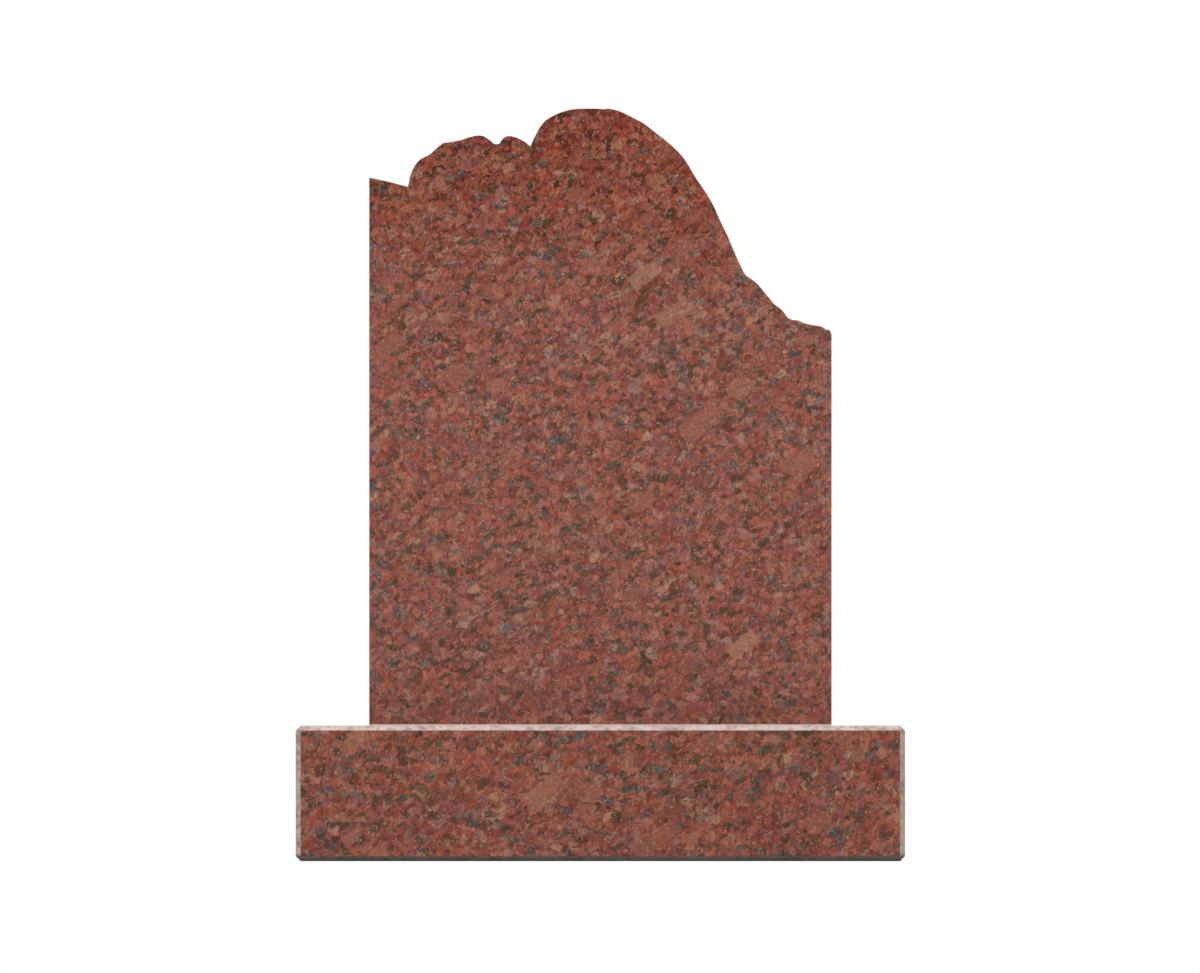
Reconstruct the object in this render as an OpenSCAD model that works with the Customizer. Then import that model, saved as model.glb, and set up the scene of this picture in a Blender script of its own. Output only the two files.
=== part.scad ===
// Upright granite headstone: a flat tablet with a hand-dressed crest, bedded and
// dowelled on a base block whose twelve edges are chamfered.
// Sizes are in millimetres. The origin is at the centre of the base's underside,
// +X runs to the reader's right, +Y to the back and +Z up.

/* [Base] */
// Width of the base block
base_w = 800; // [700:5:1000]
// Depth of the base block from front to back
base_d = 250; // [180:5:360]
// Height of the base block
base_h = 178; // [120:1:260]
// Chamfer along the base block's twelve edges
base_chamfer = 6.5; // [3:0.5:12]

/* [Tablet] */
// Width of the tablet across its straight sides
tablet_w = 607; // [450:1:700]
// Height of the tablet from its foot to the highest point of the crest
tablet_h = 809; // [600:1:1000]
// Thickness of the tablet
tablet_t = 120; // [80:5:160]
// Height of the crest above the top of the straight right side
crest_h = 296; // [200:1:400]

/* [Crest dressing] */
// Deepest hollow that a chisel flake leaves between the front and back arrises
flake_depth = 5; // [1:0.5:8]
// Distance between the flakes along the crest
flake_pitch = 34; // [24:1:60]
// Radius of a flake's hollow
flake_r = 32; // [24:1:60]
// Pattern of the flakes
flake_seed = 7; // [1:1:50]
// Longest facet along the crest
facet_l = 6; // [6:0.5:16]
// Rows of facets across the thickness
facet_rows = 12; // [6:1:14]

/* [Setting] */
// Thickness of the setting bed between the base and the tablet
bed_t = 1; // [0.5:0.5:6]
// Distance that the bed is raked back from the tablet's faces, none where it is flush
bed_rake = 0; // [0:0.5:8]
// Diameter of each dowel
dowel_d = 16; // [10:1:24]
// Length of each dowel
dowel_l = 140; // [80:5:200]
// Distance between the two dowels
dowel_gap = 360; // [200:5:400]
// Chamfer on a dowel's ends
dowel_chamfer = 1.5; // [0.5:0.5:3]
// Clearance round a dowel in its sockets
dowel_clearance = 0.3; // [0.1:0.1:0.6]
// Space left above a dowel's upper end
dowel_headroom = 2; // [0.5:0.5:6]

/* [Hidden] */
$fn = 64;

bed_z = base_h;
tablet_z = bed_z + bed_t;
dowel_x = dowel_gap / 2;
dowel_z = tablet_z - bed_t / 2 - dowel_l / 2;
socket_r = dowel_d / 2 + dowel_clearance;

// The crest's full-size template, from the left side to the right one. Each row is
// a point where the curve changes: x from the left side, height above the top of
// the straight right side, and the rise of the arc that ends there, which is
// positive where the stone swells and negative where it hollows.
template_w = 607;
template_h = 296;
template = [
    // the sloping left shoulder and the first, low boss
    [0, 205.5, 0],
    [50.5, 193.5, 0.5],
    [53, 204.5, -0.5],
    [58, 218, 0.5],
    [68, 230, 1],
    [80, 236, 0],
    [96, 250, 0.5],
    [102, 251.5, 0.5],
    [120, 254.5, 0],
    [140, 260.5, 0.5],
    [150, 260, 0.5],
    [163, 250.5, 0.5],
    [171, 250, -1],
    // the small boss between the two notches
    [177, 258, 0.5],
    [186, 260, 1],
    [205, 252, 1],
    [211.5, 246.5, 0],
    // the main boss
    [216.5, 257.5, 0],
    [222, 268, 0],
    [233, 281.5, 1],
    [256, 292.5, 1],
    [278, 296, 0.8],
    [298, 296, 0],
    [308, 295.2, 0.2],
    [313, 296, 0.2],
    [334, 290.5, 1],
    [360, 277, 0],
    [380, 261.5, 0],
    [402, 243, 0.5],
    [419, 222, 1],
    [430, 203, 0],
    [448, 176, 0.5],
    [459, 152.7, 0.5],
    [471, 128, 0],
    // the long fall to the right and the last, low shoulder
    [492, 80.5, -0.5],
    [497, 75.5, -0.5],
    [511, 64.5, 0.5],
    [531, 40, 0],
    [541, 32.5, 0],
    [548, 23, 0.5],
    [556, 18.5, -0.5],
    [564, 17.7, 0.2],
    [578, 12.5, -0.3],
    [594, 10, 0],
    [600, 6, 0],
    [604, 5.5, 0.5],
    [607, 0, 0.5]
];

// Height of the tablet's straight right side above its foot
side_h = tablet_h - crest_h;

// A template row as a point on the tablet, x from the centre and z from the foot
function at_size(row) = [
    (row.x / template_w - 0.5) * tablet_w,
    side_h + row.y / template_h * crest_h
];

// Height of an arc over its chord at a share s of the chord
function arc_height(chord, rise, s) =
    rise == 0 ? 0 :
    let (
        depth = abs(rise),
        radius = chord * chord / (8 * depth) + depth / 2,
        across = chord * (s - 0.5)
    )
    sign(rise) * (sqrt(radius * radius - across * across) - radius + depth);

// Points on the arc from a to b, without a and with b
function arc_points(a, b, rise) =
    let (
        chord = norm(b - a),
        along = (b - a) / chord,
        outward = [-along.y, along.x],
        n = ceil(chord / facet_l)
    )
    [for (i = [1:n]) a + along * chord * i / n + outward * arc_height(chord, rise, i / n)];

// The crest from the top of the left side to the top of the right side
crest = [
    at_size(template[0]),
    for (i = [1:len(template) - 1])
        each arc_points(
            at_size(template[i - 1]),
            at_size(template[i]),
            template[i][2] * crest_h / template_h
        )
];

// Distance along the crest from its left end to each of its points
last = len(crest) - 1;
crest_run = [
    for (i = 0, run = 0; i <= last; i = i + 1, run = run + norm(crest[min(i, last)] - crest[i - 1]))
        run
];

// Distance of a flake's centre from the middle of the thickness, as a share of it
flake_across = 0.28;
// How far a flake strays from its even place along the crest (share of the pitch) and
// across it (share of the thickness), and how its radius and its depth vary (shares)
stray_along = 0.3;
stray_across = 0.08;
vary_radius = 0.25;
vary_depth = 0.3;

// The flakes struck from the front arris and from the back one, each as its centre's
// run along the crest, its centre's place across the thickness, its radius and depth
flakes_a_side = ceil(crest_run[last] / flake_pitch) + 1;
dice = rands(-1, 1, 8 * flakes_a_side, flake_seed);
flakes = [
    for (k = [0:flakes_a_side - 1], back = [0, 1])
        let (first = 4 * (2 * k + back), side = 2 * back - 1)
        [
            (k + stray_along * dice[first]) * flake_pitch,
            side * tablet_t * (flake_across + stray_across * dice[first + 1]),
            flake_r * (1 + vary_radius * dice[first + 2]),
            flake_depth * (1 - vary_depth * (1 - dice[first + 3]))
        ]
];

// Depth of the dressing at crest point i in row j: none along the two arrises, and
// between them the deepest of the flakes' bowl-shaped hollows
function row_y(j) = (j / facet_rows - 0.5) * tablet_t;
function dressing(i, j) =
    j == 0 || j == facet_rows ? 0 :
    max([
        0,
        for (f = flakes)
            let (away = norm([crest_run[i] - f[0], row_y(j) - f[1]]) / f[2])
            f[3] * (1 - away * away)
    ]);

// The heart of the tablet: its place across the width (share of it, from the centre)
// and its depth below the top of the straight right side (share of the crest's height)
heart_across = -0.08;
heart_depth = 0.4;
heart = [heart_across * tablet_w, side_h - heart_depth * crest_h];

// A crest point after dressing. The chisel works towards the heart of the tablet, so
// no facet folds over, and the ends stay in the planes of the sawn sides.
function dressed(i, j) =
    let (
        p = crest[i],
        inward = (heart - p) / norm(heart - p),
        at_side = i == 0 || i == last
    )
    p + dressing(i, j) * (at_side ? [0, inward.y] : inward);

module chamfered_rectangle(size, chamfer) {
    w = size.x / 2;
    h = size.y / 2;
    polygon([
        [w, h - chamfer], [w - chamfer, h], [chamfer - w, h], [-w, h - chamfer],
        [-w, chamfer - h], [chamfer - w, -h], [w - chamfer, -h], [w, chamfer - h]
    ]);
}

// A block centred on the origin, with its twelve edges chamfered
module chamfered_block(size, chamfer) {
    intersection() {
        linear_extrude(size.z, center = true)
            chamfered_rectangle([size.x, size.y], chamfer);
        rotate([90, 0, 0])
            linear_extrude(size.y, center = true)
                chamfered_rectangle([size.x, size.z], chamfer);
        rotate([90, 0, 90])
            linear_extrude(size.x, center = true)
                chamfered_rectangle([size.y, size.z], chamfer);
    }
}

// The space that the dowels need, down to the sockets' floors in the base
module dowel_sockets() {
    for (side = [-1, 1])
        translate([side * dowel_x, 0, dowel_z])
            cylinder(r = socket_r, h = dowel_l + dowel_headroom);
}

module base() {
    color("#7e5144")
        difference() {
            translate([0, 0, base_h / 2])
                chamfered_block([base_w, base_d, base_h], base_chamfer);
            dowel_sockets();
        }
}

module setting_bed() {
    color("#cdb9af")
        difference() {
            translate([0, 0, bed_z + bed_t / 2])
                cube([tablet_w - 2 * bed_rake, tablet_t - 2 * bed_rake, bed_t], center = true);
            dowel_sockets();
        }
}

// The tablet's body between the plane of its foot and its dressed crest. The front,
// the back and the foot are made in strips, one for each stretch of the crest.
module tablet_body() {
    n = len(crest);
    rows = facet_rows;

    // A point's place in the list: crest points (i, j), then the foot's front and back edges
    function top(i, j) = i * (rows + 1) + j;
    function foot(i, back) = n * (rows + 1) + 2 * i + back;
    points = [
        for (i = [0:n - 1], j = [0:rows])
            let (p = dressed(i, j)) [p.x, row_y(j), p.y],
        for (i = [0:n - 1], back = [0, 1])
            [crest[i].x, row_y(back * rows), 0]
    ];
    crest_facets = [
        for (i = [0:n - 2], j = [0:rows - 1])
            let (a = top(i, j), b = top(i, j + 1), c = top(i + 1, j + 1), d = top(i + 1, j))
            each (i + j) % 2 == 0 ? [[a, b, c], [a, c, d]] : [[a, b, d], [b, c, d]]
    ];
    strips = [
        for (i = [0:n - 2]) each [
            [foot(i, 0), top(i, 0), top(i + 1, 0), foot(i + 1, 0)],
            [foot(i, 1), foot(i + 1, 1), top(i + 1, rows), top(i, rows)],
            [foot(i, 0), foot(i + 1, 0), foot(i + 1, 1), foot(i, 1)]
        ]
    ];
    left_side = [foot(0, 1), for (j = [rows:-1:0]) top(0, j), foot(0, 0)];
    right_side = [foot(n - 1, 0), for (j = [0:rows]) top(n - 1, j), foot(n - 1, 1)];
    polyhedron(points, concat(crest_facets, strips, [left_side, right_side]));
}

module tablet() {
    color("#82544a")
        difference() {
            translate([0, 0, tablet_z])
                tablet_body();
            dowel_sockets();
        }
}

module dowel(side) {
    r = dowel_d / 2;
    color("silver")
        translate([side * dowel_x, 0, dowel_z])
            rotate_extrude()
                polygon([
                    [0, 0], [r - dowel_chamfer, 0], [r, dowel_chamfer],
                    [r, dowel_l - dowel_chamfer], [r - dowel_chamfer, dowel_l], [0, dowel_l]
                ]);
}

base();
setting_bed();
tablet();
dowel(-1);  // dowel_left
dowel(1);  // dowel_right
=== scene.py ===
import math

import bmesh
import bpy
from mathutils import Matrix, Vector, noise


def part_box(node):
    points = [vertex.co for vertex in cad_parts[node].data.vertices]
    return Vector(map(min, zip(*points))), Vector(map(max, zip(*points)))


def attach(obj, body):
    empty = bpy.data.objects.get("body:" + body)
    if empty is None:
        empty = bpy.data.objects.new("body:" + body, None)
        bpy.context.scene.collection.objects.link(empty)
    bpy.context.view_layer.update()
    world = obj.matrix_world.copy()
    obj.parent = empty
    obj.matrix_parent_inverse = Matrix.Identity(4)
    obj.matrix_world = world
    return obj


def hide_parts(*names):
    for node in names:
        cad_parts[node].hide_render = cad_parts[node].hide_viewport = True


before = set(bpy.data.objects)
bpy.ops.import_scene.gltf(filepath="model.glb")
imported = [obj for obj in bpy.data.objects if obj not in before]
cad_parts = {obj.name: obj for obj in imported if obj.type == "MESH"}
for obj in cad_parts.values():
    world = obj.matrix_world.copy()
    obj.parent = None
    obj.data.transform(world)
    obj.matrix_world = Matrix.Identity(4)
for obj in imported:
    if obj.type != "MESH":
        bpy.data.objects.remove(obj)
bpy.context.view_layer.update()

# Sizes, in metres, from the frame's own solids
base_low, base_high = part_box("base")
tablet_low, tablet_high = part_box("tablet")
BASE_W = base_high.x - base_low.x
BASE_HALF_W = BASE_W / 2
BASE_HALF_D = (base_high.y - base_low.y) / 2
BASE_H = base_high.z
TABLET_HALF_W = (tablet_high.x - tablet_low.x) / 2
TABLET_HALF_T = (tablet_high.y - tablet_low.y) / 2
TABLET_FOOT = tablet_low.z
TOTAL_H = tablet_high.z

# How far the base's chamfers reach in from its faces
CHAMFER = 0.0065
# A shaded point counts as being in a face's plane when it is nearer to it than this
SKIN = 0.00005

# ---------------------------------------------------------------- camera

# A straight front view from the height of the stone's middle, with no perspective
VIEW_W = 1.9695 * BASE_W
CAMERA_PLACE = (-0.0005, -4.0, 0.4979 * TOTAL_H)


def make_camera():
    data = bpy.data.cameras.new("front_view")
    data.type = "ORTHO"
    data.ortho_scale = VIEW_W
    camera = bpy.data.objects.new("front_view", data)
    camera.location = CAMERA_PLACE
    camera.rotation_euler = (math.radians(90), 0, 0)
    bpy.context.scene.collection.objects.link(camera)
    bpy.context.scene.camera = camera


# ---------------------------------------------------------------- node trees


def srgb(red, green, blue):
    """A colour as it is read off a chart, turned into the linear colour of a shader."""
    linear = [
        ((c / 255 + 0.055) / 1.055) ** 2.4 if c > 10 else c / 3294.6
        for c in (red, green, blue)
    ]
    return (*linear, 1.0)


def palette(*stops):
    """The stops of a colour ramp, each given as its place and a colour off a chart."""
    return [(place, srgb(*colour)) for place, *colour in stops]


class Signal:
    """One output of a node. Arithmetic on signals adds the Math nodes that work it out."""

    def __init__(self, shader, socket):
        self.shader = shader
        self.socket = socket

    def worked_out(self, operation, first, second=0.0):
        node = self.shader.node("ShaderNodeMath", {"operation": operation}, {0: first, 1: second})
        return node["Value"]

    def __add__(self, other):
        return self.worked_out("ADD", self, other)

    def __radd__(self, other):
        return self.worked_out("ADD", other, self)

    def __sub__(self, other):
        return self.worked_out("SUBTRACT", self, other)

    def __rsub__(self, other):
        return self.worked_out("SUBTRACT", other, self)

    def __mul__(self, other):
        return self.worked_out("MULTIPLY", self, other)

    def __rmul__(self, other):
        return self.worked_out("MULTIPLY", other, self)

    def __gt__(self, other):
        return self.worked_out("GREATER_THAN", self, other)

    def __lt__(self, other):
        return self.worked_out("LESS_THAN", self, other)

    def __abs__(self):
        return self.worked_out("ABSOLUTE", self)

    def or_else(self, other):
        """The larger of the two signals."""
        return self.worked_out("MAXIMUM", self, other)


class Outputs:
    """A node that has been added, whose outputs are read by name."""

    def __init__(self, shader, node):
        self.shader = shader
        self.made = node

    def __getitem__(self, name):
        return Signal(self.shader, self.made.outputs[name])


class Shader:
    """A material's or the world's node tree as it is built up, node by node."""

    def __init__(self, owner):
        owner.use_nodes = True
        self.owner = owner
        self.tree = owner.node_tree
        self.tree.nodes.clear()

    def node(self, kind, settings=None, sockets=None):
        made = self.tree.nodes.new(kind)
        for key, value in (settings or {}).items():
            if key == "stops":
                self.set_stops(made.color_ramp, value)
            else:
                setattr(made, key, value)
        for key, value in (sockets or {}).items():
            socket = made.inputs[key]
            if isinstance(value, Signal):
                self.tree.links.new(value.socket, socket)
            else:
                socket.default_value = value
        return Outputs(self, made)

    def set_stops(self, ramp, stops):
        while len(ramp.elements) < len(stops):
            ramp.elements.new(1.0)
        for element, (place, colour) in zip(ramp.elements, stops):
            element.position = place
            element.color = colour

    # Short forms of the nodes that the finishes use most
    def place(self):
        """The point that is being shaded, in the frame's own metres."""
        return self.node("ShaderNodeTexCoord")["Object"]

    def parts(self, signal):
        node = self.node("ShaderNodeSeparateXYZ", {}, {"Vector": signal})
        return node["X"], node["Y"], node["Z"]

    def ramp(self, signal, stops):
        return self.node("ShaderNodeValToRGB", {"stops": stops}, {"Fac": signal})["Color"]

    def blend(self, amount, first, second, mode="MIX"):
        node = self.node("ShaderNodeMix", {"data_type": "RGBA", "blend_type": mode},
                         {0: amount, 6: first, 7: second})
        return Signal(self, node.made.outputs[2])

    def multiply(self, colour, other):
        return self.blend(1.0, colour, other, "MULTIPLY")

    def minus(self, colour, other):
        return self.blend(1.0, colour, other, "SUBTRACT")

    def tinted(self, colour, amount, low, high):
        """The colour times a tint, which runs from low to high as amount runs from 0 to 1."""
        return self.multiply(colour, self.blend(amount, (*low, 1), (*high, 1)))

    def level(self, signal, low, high):
        """A grey from low to high as the signal runs from 0 to 1."""
        return self.ramp(signal, [(0.0, (low, low, low, 1)), (1.0, (high, high, high, 1))])

    def step(self, signal, low, high):
        """0 at low and beyond it, 1 at high and beyond it, and smooth between the two. Low may
        be the larger of the two, and the signal then counts downwards."""
        return self.node("ShaderNodeMapRange", {"interpolation_type": "SMOOTHSTEP"},
                         {"Value": signal, "From Min": low, "From Max": high})["Result"]

    def noise(self, where, size, detail=2.0, roughness=0.5, output="Fac"):
        node = self.node("ShaderNodeTexNoise", {}, {
            "Vector": where,
            "Scale": 1 / size,
            "Detail": detail,
            "Roughness": roughness,
        })
        return node[output]

    def cells(self, where, size):
        """Three random numbers for each cell of a mosaic whose cells are size across."""
        node = self.node("ShaderNodeTexVoronoi", {}, {"Vector": where, "Scale": 1 / size})
        return self.parts(node["Color"])

    def vector(self, operation, first, second):
        node = self.node("ShaderNodeVectorMath", {"operation": operation}, {0: first, 1: second})
        return node["Vector"]

    def scaled(self, vector, factor):
        node = self.node("ShaderNodeVectorMath", {"operation": "SCALE"}, {0: vector, "Scale": factor})
        return node["Vector"]

    def turned(self, where, degrees, longer):
        """Coordinates for grains whose long axis rises to the right by so many degrees. longer
        is how much longer than even ones they are along that axis, through the stone and
        across."""
        node = self.node("ShaderNodeMapping", {"vector_type": "TEXTURE"}, {
            "Vector": where,
            "Rotation": (0, math.radians(-degrees), 0),
            "Scale": longer,
        })
        return node["Vector"]

    def warped(self, where, size, reach):
        """Coordinates stirred by a noise, so that cells lose their straight sides."""
        stir = self.vector("SUBTRACT", self.noise(where, size, output="Color"), (0.5, 0.5, 0.5))
        return self.vector("ADD", where, self.scaled(stir, reach))

    def grains(self, where, size, share, radius, soft, distance="EUCLIDEAN"):
        """Grains of one mineral: a mask and two random numbers for each grain.

        size is the distance between grains and share the part of the places that hold one.
        radius, for the largest grain, and soft, the width of its edge, are shares of size.
        distance is EUCLIDEAN for round grains and CHEBYCHEV for square ones."""
        cell = self.node("ShaderNodeTexVoronoi", {"distance": distance},
                         {"Vector": where, "Scale": 1 / size})
        chance, tint, shade = self.parts(cell["Color"])
        grown = (chance - (1 - share)) * (radius / share)
        return self.step(grown - cell["Distance"], 0.0, soft), tint, shade

    def bump(self, height, distance):
        return self.node("ShaderNodeBump", {}, {"Height": height, "Distance": distance})["Normal"]

    def seen(self):
        """1 for what the camera sees, also in a mirror or through a clear thing, else 0."""
        path = self.node("ShaderNodeLightPath")
        mirrored = path["Is Glossy Ray"].or_else(path["Is Transmission Ray"])
        return path["Is Camera Ray"].or_else(mirrored)

    def surface(self, **sockets):
        """The Principled shader as the tree's surface; underscores in names stand for spaces."""
        named = {key.replace("_", " "): value for key, value in sockets.items()}
        shader = self.node("ShaderNodeBsdfPrincipled", {}, named)
        self.node("ShaderNodeOutputMaterial", {}, {"Surface": shader["BSDF"]})
        return self.owner


# ---------------------------------------------------------------- light


def make_softbox(name, size, place, target, watts):
    data = bpy.data.lights.new(name, "AREA")
    data.shape = "RECTANGLE"
    data.size, data.size_y = size
    data.energy = watts
    lamp = bpy.data.objects.new(name, data)
    lamp.location = place
    lamp.rotation_euler = (Vector(target) - Vector(place)).to_track_quat("-Z", "Y").to_euler()
    bpy.context.scene.collection.objects.link(lamp)


def make_world(strength):
    """An even sky that gives a plain level of light and shows as white behind the stone."""
    world = bpy.data.worlds.new("studio")
    bpy.context.scene.world = world
    sky = Shader(world)
    background = sky.node("ShaderNodeBackground", {}, {
        "Color": (1, 1, 1, 1),
        "Strength": sky.seen() * (1 - strength) + strength,
    })
    sky.node("ShaderNodeOutputWorld", {}, {"Surface": background["Background"]})


def make_floor():
    """A pale floor, half of it a white glow, that takes the stone's shadow and shows little else."""
    far = 12
    mesh = bpy.data.meshes.new("floor")
    corners = [(-far, -far, 0), (far, -far, 0), (far, far, 0), (-far, far, 0)]
    mesh.from_pydata(corners, [], [(0, 1, 2, 3)])
    floor = bpy.data.objects.new("floor", mesh)
    bpy.context.scene.collection.objects.link(floor)

    paper = Shader(bpy.data.materials.new("floor_paper"))
    matt = paper.node("ShaderNodeBsdfDiffuse", {}, {"Color": (0.8, 0.8, 0.8, 1)})
    glow = paper.node("ShaderNodeEmission", {}, {"Color": (1, 1, 1, 1), "Strength": 1.0})
    mixed = paper.node("ShaderNodeMixShader", {},
                       {0: paper.seen() * 0.5, 1: matt["BSDF"], 2: glow["Emission"]})
    paper.node("ShaderNodeOutputMaterial", {}, {"Surface": mixed["Shader"]})
    mesh.materials.append(paper.owner)


# ---------------------------------------------------------------- finishes

# The tablet's granite is a little finer than the base's: each divides the sizes below by this
TABLET_FINENESS = 1.1
BASE_FINENESS = 0.97
# Distance across a grain, or between the middles of grains that lie apart, in metres
CRYSTAL = 0.0105
SMALL_CRYSTAL = 0.0060
PALE_GRAIN = 0.0155
FLECK = 0.0100
SPECK = 0.0030
GRIT = 0.0022
LATH = 0.036
BLOCK = 0.044

FELDSPAR = palette((0.00, 126, 70, 64), (0.20, 138, 74, 68), (0.45, 147, 77, 65),
                   (0.70, 155, 85, 67), (0.88, 152, 94, 78), (1.00, 144, 100, 90))
SMALL_FELDSPAR = palette((0.0, 112, 60, 61), (0.4, 150, 74, 66),
                         (0.7, 168, 96, 68), (1.0, 152, 108, 96))
PALE_FELDSPAR = palette((0.0, 156, 88, 70), (0.4, 162, 102, 82),
                        (0.8, 168, 116, 98), (1.0, 178, 128, 100))
TAN_FELDSPAR = palette((0.0, 138, 80, 66), (0.5, 149, 88, 73),
                       (0.85, 158, 99, 81), (1.0, 166, 112, 90))
DARK_MINERALS = palette((0.00, 88, 54, 46), (0.25, 78, 56, 41), (0.48, 61, 59, 45),
                        (0.64, 62, 68, 62), (0.76, 86, 93, 91), (0.84, 70, 66, 77),
                        (1.00, 82, 60, 64))
GLINT = srgb(198, 155, 133)
# What the stone pales to where it is sawn, broken or honed
SAWN = srgb(176, 140, 128)
BROKEN = srgb(192, 150, 136)
HONED = srgb(184, 168, 160)

COMPOUND = palette((0.3, 226, 208, 198), (0.7, 242, 228, 220))
# Painted light along the tablet's foot, in the colour of the setting compound
JOINT_LINE_LIGHT = srgb(240, 210, 192)
STEEL = [(0.3, (0.50, 0.50, 0.51, 1)), (0.7, (0.62, 0.62, 0.63, 1))]

# Polished stone mirrors the white studio, which veils its colour. The finishes take this
# much off first: less on the tablet than on the base. Towards the tablet's head they take
# more off again, which is painted shade that darkens the face towards its top
TABLET_VEIL = (0.016, 0.016, 0.016, 1)
BASE_VEIL = (0.020, 0.020, 0.020, 1)
HEAD_PAINTED_SHADE = 0.031

# The painted shade in the hollows of the crest is at its darkest from this depth on
DEEPEST_PAINTED_SHADE = 0.008


def granite(f, where, dark, laths):
    """The colour of red granite at a point.

    dark raises the amount of dark minerals, and laths is the share of places that hold a lath."""
    near = f.warped(where, size=0.013, reach=0.010)
    soft = f.warped(near, size=0.0022, reach=0.0032)
    mosaic = f.turned(soft, -6, (1.10, 1.0, 0.96))
    slant = f.turned(near, 60, (1.3, 1.0, 0.85))

    # Feldspar crystals: each has its own hue, its own lightness and its own cast
    hue, lift, cast = f.cells(mosaic, CRYSTAL)
    colour = f.ramp(hue, FELDSPAR)
    colour = f.tinted(colour, lift, (0.85, 0.78, 0.75), (1.11, 1.15, 1.18))
    colour = f.tinted(colour, cast, (1.06, 0.94, 0.87), (0.95, 1.06, 1.14))
    tone = f.step(f.noise(where, size=0.030, roughness=0.6), 0.30, 0.70)
    colour = f.tinted(colour, tone, (1.04, 0.95, 0.91), (0.96, 1.06, 1.10))

    # Smaller crystals inside and between them, which differ in lightness more than in hue
    chance, hue, lift = f.cells(f.turned(soft, 60, (1.30, 1.0, 0.85)), SMALL_CRYSTAL)
    colour = f.blend(f.step(chance, 0.40, 0.46) * 0.30, colour, f.ramp(hue, SMALL_FELDSPAR))
    colour = f.tinted(colour, lift, (0.84, 0.78, 0.75), (1.14, 1.20, 1.24))

    # Pale grains
    leaning = f.turned(near, 30, (1.25, 1.0, 0.9))
    pale, hue, _ = f.grains(leaning, PALE_GRAIN, share=0.34, radius=0.62, soft=0.10)
    colour = f.blend(pale * 0.66, colour, f.ramp(hue, PALE_FELDSPAR))

    # Dark minerals fill joints between the crystals where there is room for them
    cloud = f.noise(where, size=0.045, roughness=0.6)
    room = f.noise(near, size=0.0095, roughness=0.6)
    joint = f.node("ShaderNodeTexVoronoi", {"feature": "DISTANCE_TO_EDGE"},
                   {"Vector": mosaic, "Scale": 1 / CRYSTAL})["Distance"]
    filled = f.step(room * 1.3 + cloud * 0.15 - 0.735 + dark - joint, -0.05, 0.07)

    # They also gather in flat flecks, whose hue drifts through the stone and differs by fleck
    fleck_place = f.turned(f.warped(near, size=0.0024, reach=0.0022), 4, (1.20, 1.0, 0.90))
    chance, hue, depth = f.cells(fleck_place, FLECK)
    patch = f.noise(f.turned(near, 8, (1.20, 1.0, 0.85)), size=0.0115, detail=3.0, roughness=0.68)
    fleck = f.step(patch + (chance - 0.5) * 0.20 + (cloud - 0.5) * 0.06 + dark, 0.568, 0.612)
    speck, _, _ = f.cells(slant, SPECK)
    drift = f.noise(where, size=0.018)
    minerals = f.ramp(0.65 * hue + 0.9 * (drift - 0.5) + 0.15, DARK_MINERALS)
    # The crystals under them show through a little
    minerals = f.blend(0.12, minerals, f.multiply(colour, (0.50, 0.38, 0.34, 1)))
    minerals = f.multiply(minerals, f.level(speck, 0.76, 1.40))
    colour = f.blend((filled * 0.7).or_else(fleck) * (0.66 + 0.28 * depth), colour, minerals)

    # Laths of tan-pink feldspar, which lean to the right, and rounder blocks of it
    kinds = (
        (f.turned(near, 38, (2.0, 1.0, 0.9)), LATH, "CHEBYCHEV"),
        (f.turned(near, 12, (1.3, 1.0, 0.9)), BLOCK, "EUCLIDEAN"),
    )
    for place, size, distance in kinds:
        large, hue, clear = f.grains(place, size, laths, radius=0.48, soft=0.05, distance=distance)
        colour = f.blend(large * (0.50 + 0.34 * clear), colour, f.ramp(hue, TAN_FELDSPAR))

    # Fine grain inside every crystal, paler or deeper, with rare glints
    grit, _, glint = f.cells(slant, GRIT)
    colour = f.tinted(colour, grit, (0.85, 0.79, 0.76), (1.18, 1.25, 1.30))
    colour = f.blend(f.step(glint, 0.952, 0.962) * 0.32, colour, GLINT)

    # All of it a little less red
    return f.multiply(colour, (0.895, 1.035, 1.035, 1))


def polish(f, where):
    """The roughness of the polished faces, which the weather leaves a little uneven."""
    return 0.12 + 0.10 * f.noise(where, size=0.12, detail=3.0, roughness=0.6)


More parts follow.
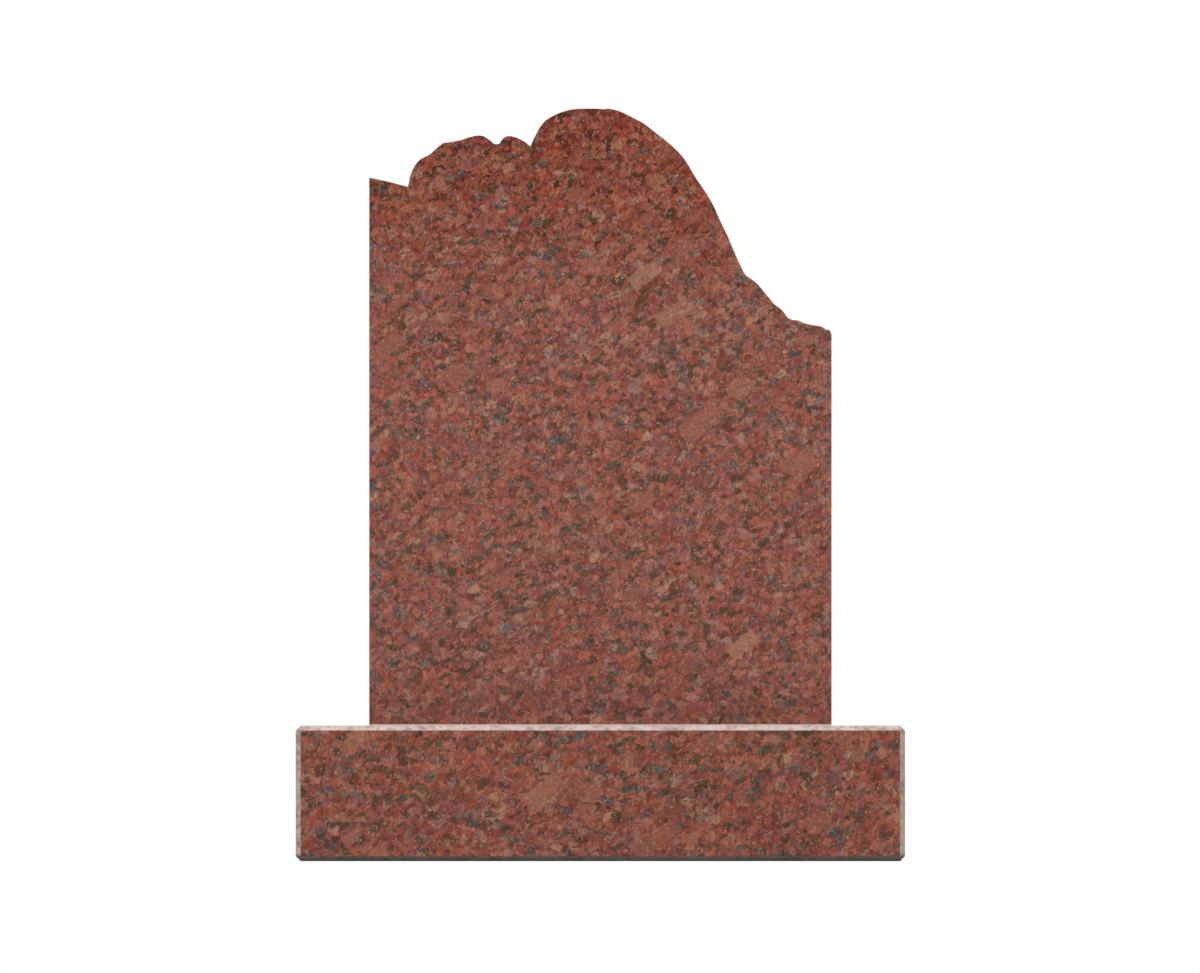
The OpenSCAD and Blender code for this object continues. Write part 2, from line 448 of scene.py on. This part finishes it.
def tablet_granite():
    f = Shader(bpy.data.materials.new("tablet_granite"))
    where = f.place()
    x, y, z = f.parts(where)
    stone = granite(f, f.scaled(where, TABLET_FINENESS), dark=0.020, laths=0.25)
    # Painted shade: the face darkens towards its head
    head_shade = f.step(z, 0.68 * TOTAL_H, 1.06 * TOTAL_H)
    polished = f.minus(f.minus(stone, TABLET_VEIL), head_shade * HEAD_PAINTED_SHADE)

    # Painted light: the lowest part of the face is made paler, against the shade that falls on it
    # near the base
    painted_foot_light = f.step(z, TABLET_FOOT + 0.024, TABLET_FOOT - 0.006)
    polished = f.tinted(polished, painted_foot_light, (1, 1, 1), (1.34, 1.34, 1.34))

    # Painted light: a pale line in the colour of the setting compound along the arris of the foot
    # brightens the joint, whose groove lies in shade
    painted_joint_light = f.step(z, TABLET_FOOT + 0.0009, TABLET_FOOT + 0.0005)
    polished = f.blend(painted_joint_light * 0.9, polished, JOINT_LINE_LIGHT)

    # Sawn sides: paler, with the fine level lines of the saw
    sawn = abs(x) > TABLET_HALF_W - SKIN
    flattened = f.vector("MULTIPLY", where, (1.0, 1.0, 30.0))
    lines = f.noise(flattened, size=0.04, detail=3.0, roughness=0.6)
    rubbed = f.blend(0.42, stone, SAWN)
    rubbed = f.multiply(rubbed, f.level(lines, 0.86, 1.12))

    # Dressed crest: broken crystals, paler, with painted light on the ridges and painted shade in the
    # hollows
    dressed = ((abs(x) < TABLET_HALF_W - SKIN) * (abs(y) < TABLET_HALF_T - SKIN)
               * (z > TABLET_FOOT + SKIN))
    sugar = f.noise(where, size=0.0022, roughness=0.7)
    broken = f.blend(0.24, stone, BROKEN)
    broken = f.multiply(broken, f.level(sugar, 0.55, 1.55))
    depth = f.node("ShaderNodeAttribute", {"attribute_name": "chisel_depth"}, {})["Fac"]
    # Painted shade in the hollows and painted light on the ridges, by how deep the chisel went
    broken = f.multiply(broken, f.level(depth * (1 / DEEPEST_PAINTED_SHADE), 1.26, 0.62))

    colour = f.blend(dressed, f.blend(sawn, polished, rubbed), broken)
    rough = polish(f, where) + 0.55 * sawn + 0.62 * dressed
    height = lines * sawn * 0.4 + sugar * dressed
    return f.surface(Base_Color=colour, Roughness=rough, Specular_IOR_Level=0.25,
                     Normal=f.bump(height, distance=0.0009))


def base_granite():
    f = Shader(bpy.data.materials.new("base_granite"))
    where = f.place()
    x, y, z = f.parts(where)
    stone = granite(f, f.scaled(where, BASE_FINENESS), dark=0.020, laths=0.36)
    stone = f.multiply(stone, (0.94, 0.94, 0.92, 1))
    polished = f.minus(stone, BASE_VEIL)

    # Honed chamfers, which are every point that is in none of the block's six faces: pale, with
    # darker clouds and bruised crystals
    honed = ((abs(x) < BASE_HALF_W - SKIN) * (abs(y) < BASE_HALF_D - SKIN)
             * (z < BASE_H - SKIN) * (z > SKIN))
    mottle = f.step(f.noise(where, size=0.014, detail=3.0, roughness=0.6), 0.32, 0.62)
    bruise, _, _ = f.cells(f.warped(where, size=0.004, reach=0.004), size=0.0055)
    hone = f.blend(0.80, stone, HONED)
    hone = f.multiply(hone, f.level(mottle, 0.80, 1.10))
    hone = f.multiply(hone, f.level(f.step(bruise, 0.68, 0.80), 1.06, 0.76))

    # Painted light and shade: the upper chamfers are made paler and the others darker, and the ones
    # along the ground darker still, as painted shade
    painted_top_light = f.step(z, BASE_H - CHAMFER - 0.0001, BASE_H - CHAMFER + 0.0009)
    painted_ground_shade = f.step(z, CHAMFER + 0.002, CHAMFER)
    hone = f.tinted(hone, painted_top_light, (0.82, 0.82, 0.80), (1.10, 1.11, 1.13))
    hone = f.blend(painted_ground_shade, hone, f.multiply(hone, (0.30, 0.31, 0.30, 1)))

    tooth = f.noise(where, size=0.0015, roughness=0.6)
    return f.surface(Base_Color=f.blend(honed, polished, hone),
                     Roughness=polish(f, where) + 0.38 * honed,
                     Specular_IOR_Level=0.25, Normal=f.bump(tooth * honed, distance=0.0003))


def setting_compound():
    f = Shader(bpy.data.materials.new("setting_compound"))
    where = f.place()
    patch = f.noise(where, size=0.03, detail=4.0, roughness=0.6)
    grit = f.noise(where, size=0.0016, roughness=0.7)
    colour = f.ramp(patch, COMPOUND)
    colour = f.multiply(colour, f.level(grit, 0.97, 1.17))
    return f.surface(Base_Color=colour, Roughness=0.8 + 0.15 * grit, Specular_IOR_Level=0.25,
                     Normal=f.bump(grit, distance=0.0006))


def dowel_steel():
    f = Shader(bpy.data.materials.new("dowel_steel"))
    where = f.place()
    drawn_out = f.vector("MULTIPLY", where, (1.0, 1.0, 0.03))
    brushed = f.noise(drawn_out, size=0.0012, detail=3.0, roughness=0.6)
    tarnish = f.noise(where, size=0.02, detail=4.0, roughness=0.6)
    colour = f.ramp(tarnish, STEEL)
    return f.surface(Base_Color=colour, Metallic=1.0, Roughness=0.24 + 0.2 * brushed,
                     Normal=f.bump(brushed, distance=0.0002))


# ---------------------------------------------------------------- the dressed crest

# Cuts along every edge of the crest's facets, which make room for the finer work
CUTS = 4
# A corner of the mesh counts as being in a plane when it is nearer to it than this
NEAR = 1e-5
# All of the crest is higher above the foot than this, and the dowels' sockets are all lower
CREST_ABOVE = 0.3
# The chisel works towards this point, and reaches its full depth this far from an arris
HEART = Vector((-0.05, 0.0, 0.57))
RUN_IN = 0.010
# Depth and size of the torn grain between the chisel's marks
TORN_DEPTH = 0.0009
TORN_SIZE = 0.0035


def scoops(point, pitch, depth, hollow):
    """Depth of the deepest of the scoops round a point. They lie about a pitch apart, each with
    its own depth and slope, and every one is hollow towards its middle."""
    spot = point / pitch
    deepest = 0.0
    for middle in noise.voronoi(spot)[1]:
        away = spot - middle
        # Spread out, so that close middles fall in cells of their own
        dice = noise.cell_vector(middle * 9.7)
        slope = (dice - Vector((0.5, 0.5, 0.5))).dot(away)
        deepest = max(deepest, dice.x * 0.7 + 0.3 + slope - hollow * away.length_squared)
    return depth * deepest


def chisel_depth(point):
    """How far the chisel and the torn grain go in at a point of the crest, in metres."""
    struck = scoops(point, pitch=0.032, depth=0.0070, hollow=1.3)
    picked = scoops(point, pitch=0.011, depth=0.0018, hollow=1.2)
    torn = TORN_DEPTH * (0.5 + 0.5 * noise.fractal(point / TORN_SIZE, 1.0, 2.0, 3))
    return struck + picked + max(torn, 0.0)


def on_crest(point):
    """Whether a point of the tablet lies on its crest, and not on an arris or a flat face."""
    return (abs(point.x) < TABLET_HALF_W - NEAR and abs(point.y) < TABLET_HALF_T - NEAR
            and point.z > TABLET_FOOT + CREST_ABOVE)


def make_dressed_tablet():
    """The tablet with its crest in finer work than the frame holds. Its faces, its sides, its
    foot and both arrises of the crest stay where they are, and the chisel only goes in."""
    stone = bmesh.new()
    stone.from_mesh(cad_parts["tablet"].data)
    bmesh.ops.remove_doubles(stone, verts=stone.verts, dist=1e-6)

    crest = [face for face in stone.faces if on_crest(face.calc_center_median())]
    edges = dict.fromkeys(edge for face in crest for edge in face.edges)
    bmesh.ops.subdivide_edges(stone, edges=list(edges), cuts=CUTS, use_grid_fill=True)

    depths = stone.verts.layers.float.new("chisel_depth")
    for vert in stone.verts:
        if not on_crest(vert.co):
            continue
        margin = min(TABLET_HALF_T - abs(vert.co.y), TABLET_HALF_W - abs(vert.co.x))
        inward = Vector((HEART.x - vert.co.x, 0.0, HEART.z - vert.co.z)).normalized()
        depth = chisel_depth(vert.co) * min(margin / RUN_IN, 1.0) ** 0.7
        vert.co += inward * depth
        vert[depths] = depth

    mesh = bpy.data.meshes.new("dressed_tablet")
    stone.to_mesh(mesh)
    stone.free()
    tablet = bpy.data.objects.new("dressed_tablet", mesh)
    bpy.context.scene.collection.objects.link(tablet)
    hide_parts("tablet")
    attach(tablet, "root")
    return tablet


# ---------------------------------------------------------------- the scene


def paint(thing, finish):
    thing.data.materials.clear()
    thing.data.materials.append(finish)


make_camera()
make_world(strength=0.70)
make_softbox("overhead_softbox", size=(18.0, 12.0), place=(-4.0, -8.8, 23.0),
             target=(0, 0, 0.5), watts=4500)
make_floor()

paint(make_dressed_tablet(), tablet_granite())
paint(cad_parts["base"], base_granite())
paint(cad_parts["setting_bed"], setting_compound())
steel = dowel_steel()
for side in ("left", "right"):
    paint(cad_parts["dowel_" + side], steel)

bpy.context.scene.view_settings.view_transform = "Standard"
